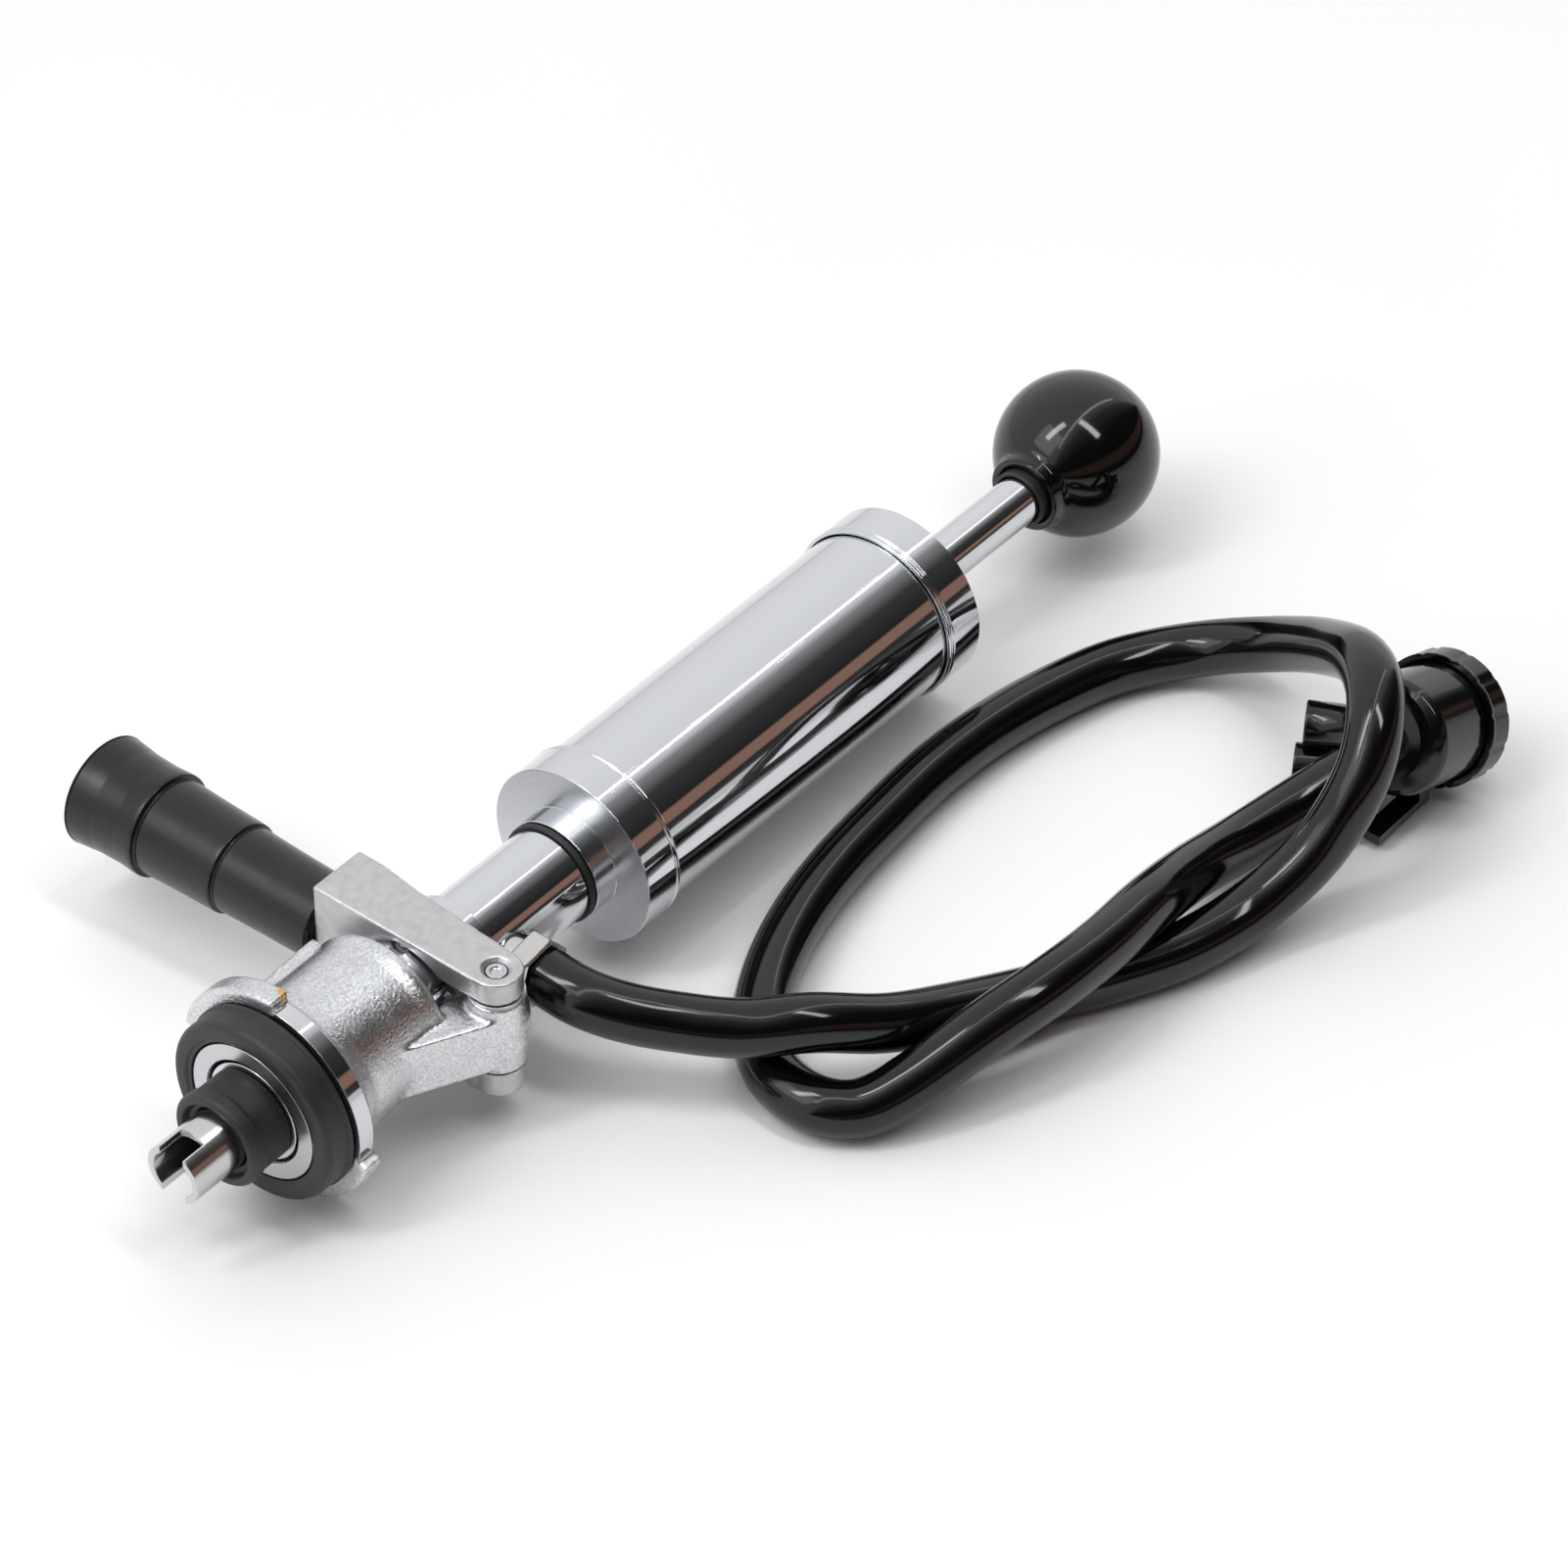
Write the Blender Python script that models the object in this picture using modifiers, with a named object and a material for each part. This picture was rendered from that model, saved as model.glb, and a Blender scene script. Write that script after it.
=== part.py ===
"""Keg party pump: a hand air pump on a lever coupler, with a beer hose and a squeeze tap.

Lengths are in millimetres and MM turns them into Blender's metres. The pump's own frame has +X
along the pump from the probe to the knob, with x = 0 on the front face of the bottom cap, +Y
along the lever's grip and +Z up. The parent empty pump_frame puts that frame where the whole
object stands on z = 0, centred over the origin.
"""

import math

import bmesh
import bpy
from mathutils import Matrix, Vector

MM = 0.001
GAP = 0.3

# The whole object: the frame's place, and the height of the floor in the pump's frame.
AXIS_HEIGHT = 31.5
TIP_X = -154.0
KNOB_X = 223.2
KNOB_R = 24.1
GRIP_END_Y = 113.8
BOSS_Y = -26.5
BOSS_R = 8.6
FRAME_PLACE = (-(TIP_X + KNOB_X + KNOB_R) / 2, -(GRIP_END_Y + BOSS_Y - BOSS_R) / 2, AXIS_HEIGHT)

# Air pump
BARREL_R = 25.4
BARREL_WALL = 1.3
CAP_R = 26.7
CAP_LENGTH = 12.7
CAP_WALL = 6.0
TOP_CAP_END = 142.9
COLLAR_R = 15.3
COLLAR_LENGTH = 7.5
COLUMN_R = 14.0
COLUMN_FRONT = -45.7
NECK_X = -9.9
SPIGOT_R = 12.0
ROD_R = 7.2
BUSH_R = 9.5
CUP_X = 14.0

# Probe, which reaches into the keg
PROBE_R = 8.6
PROBE_BORE = 6.6
HEAD_R = 16.2
HEAD_FRONT = -73.5
GUIDE_R = 15.0
GUIDE_FRONT = -112.0
SEAL_R = 13.8
SEAL_FRONT = -138.8
SEAL_BACK = -124.8
BALL_R = 4.6
BALL_X = -92.0

# Coupler casting, with its lever
NOSE_X = -124.3
NOSE_BORE = 15.4
NOSE_R = 20.4
KEG_SEAL_R = 26.8
FLANGE_R = 28.5
FLANGE_FRONT = -115.8
FLANGE_BACK = -110.3
LUG_R = 31.5
BODY_R = 22.0
BODY_BACK = -74.0
PIN_X = -60.7
PIN_R = 2.8
ARM_IN = 12.6
ARM_OUT = 19.6
YOKE_FRONT = -68.0
YOKE_BACK = -49.7
YOKE_END = 30.0
DRIVE_X = -59.4
LEVER_SWING = 25.0

# Grip on the lever
SHANK_R = 7.5

# Outlet, hose and tap
OUTLET_X = -39.5
HOSE_R = 7.95
HOSE_ROUTE = [
    (-39.5, -24.8, 0), (-38.9, -36, -1), (-34.5, -47, -3), (-27, -58.5, -5), (-17.5, -72, -6),
    (-5, -85.5, -5), (12, -96.5, -11), (33, -103.5, -18), (55, -112, -23), (75, -123, -23.5),
    (96, -133, -23), (118, -140, -19), (135.3, -146.6, -7), (149.8, -149.4, 11),
    (164, -142.9, 22.5), (178.4, -129.1, 21), (193, -108.1, 5.5), (201.1, -85.7, -11),
    (196, -64.5, -21), (178, -49.5, -23.5), (155, -42, -23.5), (132, -38, -23.5),
    (108, -37, -23.5), (85, -38.5, -23.5), (61, -41, -23.5), (38, -46, -23.5), (17, -54, -23.5),
    (0, -64.5, -23.5), (-11, -78, -23.5), (-13, -92.5, -23.5), (-7, -103.5, -23), (5, -111, -18),
    (24, -119, -9), (44, -125, -4), (66, -126, -5), (89, -124, -8), (111, -121.5, -14),
    (133, -121.5, -19), (153, -125, -18.5), (171.5, -132, -13),
]
HOSE_STEPS = 2
TAP_AXIS = (0.941, -0.024, -0.337)
TAP_NEAR = (179.2, -138.7, -2.1)
TAP_R = 16.8
TAP_RING_R = 19.2
TAP_RIM = 28.0
TAP_BAR_END = (178.1, -112.5, -9.5)
TAP_SPOUT_END = (174, -112.5, -21.9)
TAP_SIDE = (-0.5, 0.86, 0.02)
TAP_PRESS = 4.0


def clear_scene():
    for obj in list(bpy.data.objects):
        bpy.data.objects.remove(obj, do_unlink=True)


clear_scene()
parts = bpy.data.collections.new("keg_party_pump")
cutters = bpy.data.collections.new("cutters")
bpy.context.scene.collection.children.link(parts)
bpy.context.scene.collection.children.link(cutters)


def joint_empty(name, place, parent=None):
    """An empty at a place in the pump's frame, with the axes of that frame."""
    empty = bpy.data.objects.new(name, None)
    empty["place"] = place
    empty.parent = parent
    away = Vector(place) - Vector(parent["place"]) if parent else Vector(FRAME_PLACE)
    empty.location = away * MM
    parts.objects.link(empty)
    return empty


pump = joint_empty("pump_frame", (0, 0, 0))
stroke = joint_empty("pump_stroke_axis", (0, 0, 0), pump)
coupler = joint_empty("coupler_slide_axis", (0, 0, 0), pump)
lever = joint_empty("lever_swing_axis", (PIN_X, BOSS_Y, 0), coupler)
grip = joint_empty("grip_pull_axis", (DRIVE_X, YOKE_END, 0), lever)
valve = joint_empty("check_ball_axis", (BALL_X, 0, 0), pump)
button = joint_empty("tap_press_axis", TAP_NEAR, pump)


def finish(name, rgb, metallic, roughness):
    made = bpy.data.materials.new(name)
    made.use_nodes = True
    shader = made.node_tree.nodes["Principled BSDF"]
    shader.inputs["Base Color"].default_value = (*rgb, 1)
    shader.inputs["Metallic"].default_value = metallic
    shader.inputs["Roughness"].default_value = roughness
    return made


CHROME = finish("chrome plate", (0.75, 0.76, 0.78), 1, 0.08)
SATIN = finish("satin nickel", (0.62, 0.62, 0.62), 1, 0.3)
CASTING = finish("plated casting", (0.66, 0.67, 0.68), 1, 0.35)
ALLOY = finish("cast alloy", (0.55, 0.52, 0.52), 1, 0.45)
RUBBER = finish("black rubber", (0.025, 0.025, 0.026), 0, 0.6)
PLASTIC = finish("black plastic", (0.02, 0.02, 0.022), 0, 0.25)
VINYL = finish("black vinyl", (0.012, 0.012, 0.013), 0, 0.15)
LEATHER = finish("greased leather", (0.2, 0.1, 0.05), 0, 0.6)
BRASS = finish("brass", (0.7, 0.5, 0.2), 1, 0.3)

TURNS = {
    "X": Matrix.Rotation(math.pi / 2, 4, "Y"),
    "Y": Matrix.Rotation(-math.pi / 2, 4, "X"),
    "-Y": Matrix.Rotation(math.pi / 2, 4, "X"),
    "Z": Matrix.Identity(4),
}


def put(obj, place, axis, parent, material):
    """Stands an object's own Z along an axis of the pump's frame, at a place in that frame."""
    if isinstance(axis, str):
        turn = TURNS[axis]
    else:
        turn = Vector(axis).to_track_quat("Z", "Y").to_matrix().to_4x4()
    obj.parent = parent
    obj.location = (Vector(place) - Vector(parent["place"])) * MM
    obj.rotation_euler = turn.to_euler()
    if material is None:
        cutters.objects.link(obj)
        obj.hide_render = True
        obj.display_type = "WIRE"
        return obj
    obj.data.materials.append(material)
    parts.objects.link(obj)
    obj.data.shade_smooth()
    obj.data.set_sharp_from_angle(angle=math.radians(35))
    return obj


def turned(name, outline, material, parent=None, axis="X", place=(0, 0, 0), steps=24):
    """A solid of revolution from an outline of (distance along the axis, radius), which runs
    down its outer side. An outline that doesn't start on the axis closes into a ring."""
    mesh = bpy.data.meshes.new(name)
    edges = [(i, i + 1) for i in range(len(outline) - 1)]
    if outline[0][1] > 0:
        edges.append((len(outline) - 1, 0))
    mesh.from_pydata([(radius * MM, 0, along * MM) for along, radius in outline], edges, [])
    obj = bpy.data.objects.new(name, mesh)
    screw = obj.modifiers.new("turn", "SCREW")
    screw.steps = steps
    screw.render_steps = steps
    screw.use_merge_vertices = True
    screw.merge_threshold = 0.00001
    return put(obj, place, axis, parent or pump, material)


def ring(low, high, inner, outer):
    """Outline of a plain ring, for turned()."""
    return [(high, outer), (low, outer), (low, inner), (high, inner)]


def rod(low, high, radius):
    """Outline of a plain solid cylinder, for turned()."""
    return [(high, 0), (high, radius), (low, radius), (low, 0)]


def box(name, low, high, material=None, parent=None):
    mesh = bpy.data.meshes.new(name)
    shape = bmesh.new()
    bmesh.ops.create_cube(shape, size=MM)
    size = Vector(high) - Vector(low)
    bmesh.ops.scale(shape, vec=size, verts=shape.verts)
    shape.to_mesh(mesh)
    shape.free()
    obj = bpy.data.objects.new(name, mesh)
    middle = (Vector(high) + Vector(low)) / 2
    return put(obj, middle, "Z", parent or pump, material)


def boolean(obj, other, operation):
    cut = obj.modifiers.new(other.name, "BOOLEAN")
    cut.operation = operation
    cut.object = other
    return cut


def plate(name, outline, low, high, parent, material=None):
    """A flat outline in X and Y, as thick as from low to high."""
    curve = bpy.data.curves.new(name + " outline", "CURVE")
    curve.dimensions = "2D"
    curve.fill_mode = "BOTH"
    curve.extrude = (high - low) / 2 * MM
    spline = curve.splines.new("POLY")
    spline.points.add(len(outline) - 1)
    for point, (x, y) in zip(spline.points, outline):
        point.co = (x * MM, y * MM, 0, 1)
    spline.use_cyclic_u = True
    guide = bpy.data.objects.new(name + " outline", curve)
    cutters.objects.link(guide)
    graph = bpy.context.evaluated_depsgraph_get()
    mesh = bpy.data.meshes.new_from_object(guide.evaluated_get(graph))
    bpy.data.objects.remove(guide)
    shape = bmesh.new()
    shape.from_mesh(mesh)
    bmesh.ops.remove_doubles(shape, verts=shape.verts, dist=0.00001)
    bmesh.ops.recalc_face_normals(shape, faces=shape.faces)
    shape.to_mesh(mesh)
    shape.free()
    obj = bpy.data.objects.new(name, mesh)
    obj = put(obj, (0, 0, (low + high) / 2), "Z", parent, material)
    return obj


def arc(centre, radius, start, end, count):
    """Points on an arc in X and Y, with angles in degrees."""
    turns = [math.radians(start + (end - start) * i / count) for i in range(count + 1)]
    return [(centre[0] + radius * math.cos(a), centre[1] + radius * math.sin(a)) for a in turns]


# Air pump ---------------------------------------------------------------


def make_pump_shell():
    inner = BARREL_R - BARREL_WALL
    low = CAP_WALL + 1.3
    high = TOP_CAP_END - low
    turned("barrel", ring(low, high, inner, BARREL_R), CHROME, steps=32)
    turned("bottom_gasket", ring(CAP_WALL + GAP, low - GAP, 22.5, BARREL_R - GAP), RUBBER)
    inside = TOP_CAP_END - CAP_WALL
    turned("top_gasket", ring(high + GAP, inside - GAP, 22.5, BARREL_R - GAP), RUBBER)
    skirt = BARREL_R + GAP
    bottom = [
        (CAP_LENGTH, CAP_R), (0, CAP_R), (0, COLLAR_R), (-COLLAR_LENGTH, COLLAR_R),
        (-COLLAR_LENGTH, SPIGOT_R + GAP), (3.3, SPIGOT_R + GAP), (3.3, 3), (CAP_WALL, 3),
        (CAP_WALL, skirt), (CAP_LENGTH, skirt),
    ]
    turned("bottom_cap", bottom, CHROME, steps=32)
    front = TOP_CAP_END - CAP_LENGTH - 1
    top = [
        (TOP_CAP_END, BUSH_R + GAP), (TOP_CAP_END, CAP_R), (front, CAP_R), (front, skirt),
        (inside, skirt), (inside, 13), (131, 13), (131, 7.6), (132.2, 7.6), (132.2, BUSH_R + GAP),
    ]
    turned("top_cap", top, CHROME, steps=32)


def make_rod_guides():
    outline = [
        (144.2, 7.5), (144.2, 10.6), (143.2, 10.6), (143.2, BUSH_R), (137.2, BUSH_R), (137.2, 7.5),
    ]
    turned("rod_bushing", outline, SATIN)
    turned("rod_wiper", ring(132.6, 136.8, 7.5, BUSH_R), RUBBER)


def make_air_valve():
    low = CAP_WALL + GAP
    turned("air_valve_disc", rod(low, low + 1.4, 7.5), RUBBER)
    cage = [(10.4, 5), (10.4, 11), (low, 11), (low, 8), (9, 8), (9, 5)]
    turned("air_valve_cage", cage, BRASS)


def make_column():
    outline = [
        (3, SPIGOT_R), (NECK_X, SPIGOT_R), (NECK_X, COLUMN_R), (COLUMN_FRONT, COLUMN_R),
        (COLUMN_FRONT, 5), (-25, 5), (-25, 9), (3, 9),
    ]
    column = turned("column_tube", outline, CHROME, steps=32)
    socket = turned("outlet socket", rod(0, 20, 6.6), None, place=(OUTLET_X, -8, 0), axis="-Y")
    boolean(column, socket, "DIFFERENCE")
    turned("neck_ring", ring(NECK_X + GAP, -COLLAR_LENGTH - GAP, SPIGOT_R + GAP, 15), RUBBER)


def make_outlet():
    stub = [
        (15.9, 3.4), (15.9, 5.8), (8, 5.8), (8, 6.2), (0.3, 6.2), (0.3, 3.4),
    ]
    turned("outlet_stub", stub, SATIN, place=(OUTLET_X, -8, 0), axis="-Y", steps=24)
    low = (OUTLET_X, -17, 0)
    nut = turned("outlet_nut", ring(0, 7, 7.1, 10.2), SATIN, place=low, axis="-Y", steps=6)
    nut.rotation_euler.rotate_axis("Z", math.radians(10))


# Piston ---------------------------------------------------------------


def make_piston():
    last = CUP_X + 12
    rod_outline = [(206, 0), (206, ROD_R), (last, ROD_R), (last, 4), (11.6, 4), (11.6, 0)]
    turned("piston_rod", rod_outline, CHROME, stroke)
    turned("rod_bumper", ring(last + GAP, last + 5, ROD_R + GAP, 12), RUBBER, stroke)
    turned("piston_plate", ring(last - 3.3, last - GAP, 4.3, 20), SATIN, stroke)
    cup = [
        (CUP_X + 8.4, 4.3), (CUP_X + 8.4, 23.8), (CUP_X, 23.8), (CUP_X, 21.6), (CUP_X + 6, 21.6),
        (CUP_X + 6, 4.3),
    ]
    turned("piston_cup", cup, LEATHER, stroke)
    turned("piston_washer", ring(CUP_X + 4.2, CUP_X + 5.7, 4.3, 16), SATIN, stroke)
    turned("piston_nut", ring(CUP_X, CUP_X + 3.9, 5, 7.5), SATIN, stroke, steps=6)


def make_knob():
    steps = 12
    ball = []
    for i in range(steps + 1):
        turn = math.radians(152) * i / steps
        ball.append((KNOB_X + KNOB_R * math.cos(turn), KNOB_R * math.sin(turn)))
    ball[0] = (KNOB_X + KNOB_R, 0)
    bore = ROD_R + GAP
    collar = [(198, 11.4), (198, 9), (199.2, 9), (199.2, bore), (206.3, bore), (206.3, 0)]
    turned("ball_knob", ball + collar, PLASTIC, stroke)
    turned("knob_ferrule", ring(195.4, 198.8, ROD_R + GAP, 8.6), RUBBER, stroke)


# Probe ---------------------------------------------------------------


def make_probe():
    head = [
        (COLUMN_FRONT - GAP, 6.6), (COLUMN_FRONT - GAP, HEAD_R), (HEAD_FRONT, HEAD_R),
        (HEAD_FRONT, GUIDE_R), (-83, GUIDE_R), (-83, 13), (-86, 13), (-86, GUIDE_R),
        (-103, GUIDE_R), (-103, 13), (-106, 13), (-106, GUIDE_R), (GUIDE_FRONT, GUIDE_R),
        (GUIDE_FRONT, 13.2),
        (SEAL_BACK + GAP, 13.2), (SEAL_BACK + GAP, PROBE_R + GAP), (-106, PROBE_R + GAP),
        (-106, 6.6),
    ]
    head = turned("probe_head", head, CHROME, steps=32)
    for side, sign in (("upper", 1), ("lower", -1)):
        foot = (DRIVE_X, 0, sign * 15.5)
        rough = rod(-3.1, 3.1, 2.7)
        hole = turned(side + " drive hole", rough, None, place=foot, axis="Z", steps=16)
        boolean(head, hole, "DIFFERENCE")
        outline = rod(-2.8, 3.1, 2.4) if sign > 0 else rod(-3.1, 2.8, 2.4)
        turned(side + "_drive_pin", outline, SATIN, place=foot, axis="Z", steps=16)
    turned("rear_probe_o_ring", ring(-85.7, -83.3, 13.3, 15.2), RUBBER)
    turned("front_probe_o_ring", ring(-105.7, -103.3, 13.3, 15.2), RUBBER)
    tube = turned("probe_tube", ring(TIP_X, -106.3, PROBE_BORE, PROBE_R), SATIN, steps=32)
    slot = box("tip slots", (TIP_X - 2, -4, -12), (TIP_X + 8, 4, 12))
    boolean(tube, slot, "DIFFERENCE")


def make_probe_seal():
    hole = PROBE_R + GAP
    seal = [
        (SEAL_BACK, hole), (SEAL_BACK, 13.3), (-133.5, 13.3), (-135, SEAL_R), (-137.8, SEAL_R),
        (SEAL_FRONT, 12.8), (SEAL_FRONT, 11), (-136.8, 10.4), (-136.8, hole),
    ]
    turned("probe_seal", seal, RUBBER, steps=32)


def make_beer_valve():
    turned("ball_retainer", ring(-99, -97.3, 3, 6.3), BRASS, steps=20)
    turned("ball_stop", ring(-84.5, -83, 3, 6.3), BRASS, steps=20)
    ball = []
    for i in range(9):
        turn = math.pi * i / 8
        ball.append((BALL_R * math.cos(turn), BALL_R * math.sin(turn) if 0 < i < 8 else 0))
    turned("check_ball", ball, SATIN, valve, place=(BALL_X, 0, 0), steps=16)


# Coupler ---------------------------------------------------------------


def wedge(name, start, end):
    """A cutter about the pump's axis, from one angle to another, where 0 is +Y and 90 is +Z."""
    outline = [(0, 0)] + arc((0, 0), 60, start, end, 4)
    piece = plate(name, outline, -20, 20, pump)
    piece.rotation_euler = Matrix(((0, 0, 1), (1, 0, 0), (0, 1, 0))).to_euler()
    piece.location = Vector((FLANGE_FRONT, 0, 0)) * MM
    piece.parent = coupler
    return piece


def make_lugs():
    found = []
    for name, start, end in (("upper lug", 12, 91), ("lower lug", 195, 271)):
        outline = ring(FLANGE_FRONT - 0.6, FLANGE_BACK + 0.4, 18, LUG_R)
        lug = turned(name, outline, None, coupler, steps=32)
        boolean(lug, wedge(name + " wedge", start, end), "INTERSECT")
        found.append(lug)
    return found


def make_coupler_body():
    outline = [
        (BODY_BACK, NOSE_BORE), (BODY_BACK, BODY_R), (-77, 22.6), (-80, BODY_R), (-100, BODY_R),
        (-107, 23), (FLANGE_BACK, 27), (FLANGE_BACK, FLANGE_R), (FLANGE_FRONT, FLANGE_R),
        (FLANGE_FRONT, NOSE_R), (NOSE_X, NOSE_R), (NOSE_X, NOSE_BORE),
    ]
    body = turned("coupler_body", outline, CASTING, coupler, steps=32)
    for lug in make_lugs():
        boolean(body, lug, "UNION")
    web = [(-95, -18)] + arc((PIN_X, BOSS_Y), 7.8, 250, 350, 5)
    web += [(-66, -16.4), (-74.8, -16.4), (-95, -16.4)]
    boolean(body, plate("pin web", web, -9, 8, coupler), "UNION")
    boss = turned("pin boss", rod(-11.4, 11.4, BOSS_R), None, coupler, "Z", (PIN_X, BOSS_Y, 0), 24)
    boolean(body, boss, "UNION")
    rib = [(-104, 10), (-104, 23.4), (BODY_BACK, 25.2), (BODY_BACK, 14)]
    boolean(body, plate("latch rib", rib, -6, 9, coupler), "UNION")
    hole = turned("pin hole", rod(-14, 14, 3.1), None, coupler, "Z", (PIN_X, BOSS_Y, 0), 16)
    boolean(body, hole, "DIFFERENCE")
    bore = turned("body bore", rod(-130, -60, NOSE_BORE + 0.02), None, coupler, steps=32)
    boolean(body, bore, "DIFFERENCE")
    seal = [
        (-116.7, NOSE_R + 0.4), (-116.7, 27.4), (-118, 27.4), (-118, KEG_SEAL_R),
        (-124.3, KEG_SEAL_R), (-125.5, 25.8), (-125.5, NOSE_R + 0.4),
    ]
    turned("keg_seal", seal, RUBBER, coupler, steps=32)


def make_pivot():
    at = (PIN_X, BOSS_Y, 0)
    turned("pivot_pin", rod(-18.5, 18.5, PIN_R), SATIN, coupler, "Z", at, 16)
    turned("upper_pivot_washer", ring(11.7, 12.3, 3.1, 7.5), SATIN, coupler, "Z", at, 20)
    turned("lower_pivot_washer", ring(-12.3, -11.7, 3.1, 7.5), SATIN, coupler, "Z", at, 20)


# Lever ---------------------------------------------------------------


def make_yoke():
    outline = [(YOKE_FRONT, YOKE_END), (YOKE_FRONT, -24)]
    outline += arc((PIN_X, BOSS_Y), 7.1, 170, 360, 10)
    outline += [(-51.5, 8), (YOKE_BACK, 22), (YOKE_BACK, YOKE_END)]
    yoke = plate("lever_yoke", outline, -ARM_OUT, ARM_OUT, lever, ALLOY)
    yoke.location = (Vector((0, 0, 0)) - Vector(lever["place"])) * MM
    hub = box("hub space", (PIN_X - 12, -40, -ARM_IN), (YOKE_BACK + 3, -12, ARM_IN), None, lever)
    boolean(yoke, hub, "DIFFERENCE")
    pin = Vector((PIN_X, BOSS_Y, 0))
    for share in (0, 0.35, 0.7, 1):
        turn = math.radians(LEVER_SWING * share)
        along = (math.cos(turn), math.sin(turn), 0)
        foot = pin + Vector((-math.sin(turn), math.cos(turn), 0)) * -BOSS_Y
        arch = turned("arch", rod(-45, 45, HEAD_R + 0.7), None, lever, along, tuple(foot), 24)
        boolean(yoke, arch, "DIFFERENCE")
    slot = [(DRIVE_X - 3.4, -3.4), (DRIVE_X + 3.4, -3.4), (DRIVE_X + 3.4, 7), (DRIVE_X - 3.4, 7)]
    boolean(yoke, plate("drive slot", slot, -18.9, 18.9, lever), "DIFFERENCE")
    hole = turned("arm holes", rod(-25, 25, 3.1), None, lever, "Z", (PIN_X, BOSS_Y, 0), 16)
    boolean(yoke, hole, "DIFFERENCE")
    end = (DRIVE_X, YOKE_END, 0)
    socket = turned("shank socket", rod(-4, 10, SHANK_R + GAP), None, lever, "Y", end, 24)
    boolean(yoke, socket, "DIFFERENCE")
    passage = turned("latch passage", rod(-16, 0, 2.9), None, lever, "Y", end, 16)
    boolean(yoke, passage, "DIFFERENCE")


def make_shank():
    at = (DRIVE_X, 0, 0)
    low = YOKE_END - 3.7
    shank = [
        (104, 2.9), (104, 5.5), (78, 5.5), (78, SHANK_R), (low, SHANK_R), (low, 2.9), (60, 2.9),
        (60, 5), (74, 5), (74, 2.9),
    ]
    turned("grip_shank", shank, SATIN, lever, "Y", at, 24)


def make_grip():
    at = (DRIVE_X, 0, 0)
    bore = SHANK_R + GAP
    sleeve = [
        (105, bore), (105, 15.0), (97, 14.9), (90.6, 15.3), (90.1, 14.0), (78, 13.4), (64.2, 13.2),
        (63.7, 12.4), (48, 11.9), (YOKE_END + 1.5, 11.8), (YOKE_END + 1.5, bore),
    ]
    turned("grip_sleeve", sleeve, PLASTIC, grip, "Y", at, 24)
    cap = [(GRIP_END_Y, 0), (GRIP_END_Y, 16.1), (105.3, 15.1), (105.3, 7), (112, 6), (112, 0)]
    turned("grip_end_cap", cap, PLASTIC, grip, "Y", at, 24)
    pin = [(110, 0), (110, 2.4), (66, 2.4), (66, 4.6), (64, 4.6), (64, 2.4), (25, 2.4), (25, 0)]
    turned("latch_pin", pin, SATIN, grip, "Y", at, 16)


# Hose and tap ---------------------------------------------------------------


def smooth_line(points, steps):
    """Catmull-Rom curve through the points, with steps stretches between each two."""
    ends = [points[0]] + list(points) + [points[-1]]
    found = []
    for i in range(1, len(ends) - 2):
        a, b, c, d = (Vector(p) for p in ends[i - 1:i + 3])
        for j in range(steps):
            t = j / steps
            bend = (2 * a - 5 * b + 4 * c - d) * t**2 + (3 * b - a - 3 * c + d) * t**3
            found.append((2 * b + (c - a) * t + bend) / 2)
    return found + [Vector(points[-1])]


def make_hose():
    curve = bpy.data.curves.new("hose", "CURVE")
    curve.dimensions = "3D"
    curve.bevel_depth = HOSE_R * MM
    curve.bevel_resolution = 2
    curve.use_fill_caps = True
    line = smooth_line(HOSE_ROUTE, HOSE_STEPS)
    spline = curve.splines.new("POLY")
    spline.points.add(len(line) - 1)
    for point, place in zip(spline.points, line):
        point.co = (*(place * MM), 1)
    hose = bpy.data.objects.new("hose", curve)
    hose.parent = pump
    curve.materials.append(VINYL)
    parts.objects.link(hose)


def make_tap_body():
    cup = [(TAP_RIM, 0), (TAP_RIM, TAP_R), (2.5, TAP_R), (0, 14), (-1, 0)]
    body = turned("tap_body", cup, PLASTIC, pump, TAP_AXIS, TAP_NEAR, 32)
    bar = turned("tap bar", rod(-22, 0, 6.3), None, pump, TAP_SIDE, TAP_BAR_END, 20)
    boolean(body, bar, "UNION")
    spout = turned("tap spout", rod(-24, 0, 6.1), None, pump, TAP_SIDE, TAP_SPOUT_END, 20)
    boolean(body, spout, "UNION")
    last = Vector(HOSE_ROUTE[-1])
    away = (last - Vector(HOSE_ROUTE[-2])).normalized()
    tail = turned("tap tail", rod(GAP, 11, 7), None, pump, away, tuple(last), 18)
    boolean(body, tail, "UNION")
    tab = box("tap tab", (168, -146, -29), (192, -140, -26))
    boolean(body, tab, "UNION")
    web = box("tap tab web", (187, -146, -29), (192, -140, -18))
    boolean(body, web, "UNION")
    hollow = turned("tap hollow", rod(3, TAP_RIM + 5, 14), None, pump, TAP_AXIS, TAP_NEAR, 32)
    boolean(body, hollow, "DIFFERENCE")
    bore = turned("spout bore", rod(-17, 2, 4.4), None, pump, TAP_SIDE, TAP_SPOUT_END, 20)
    boolean(body, bore, "DIFFERENCE")


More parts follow.
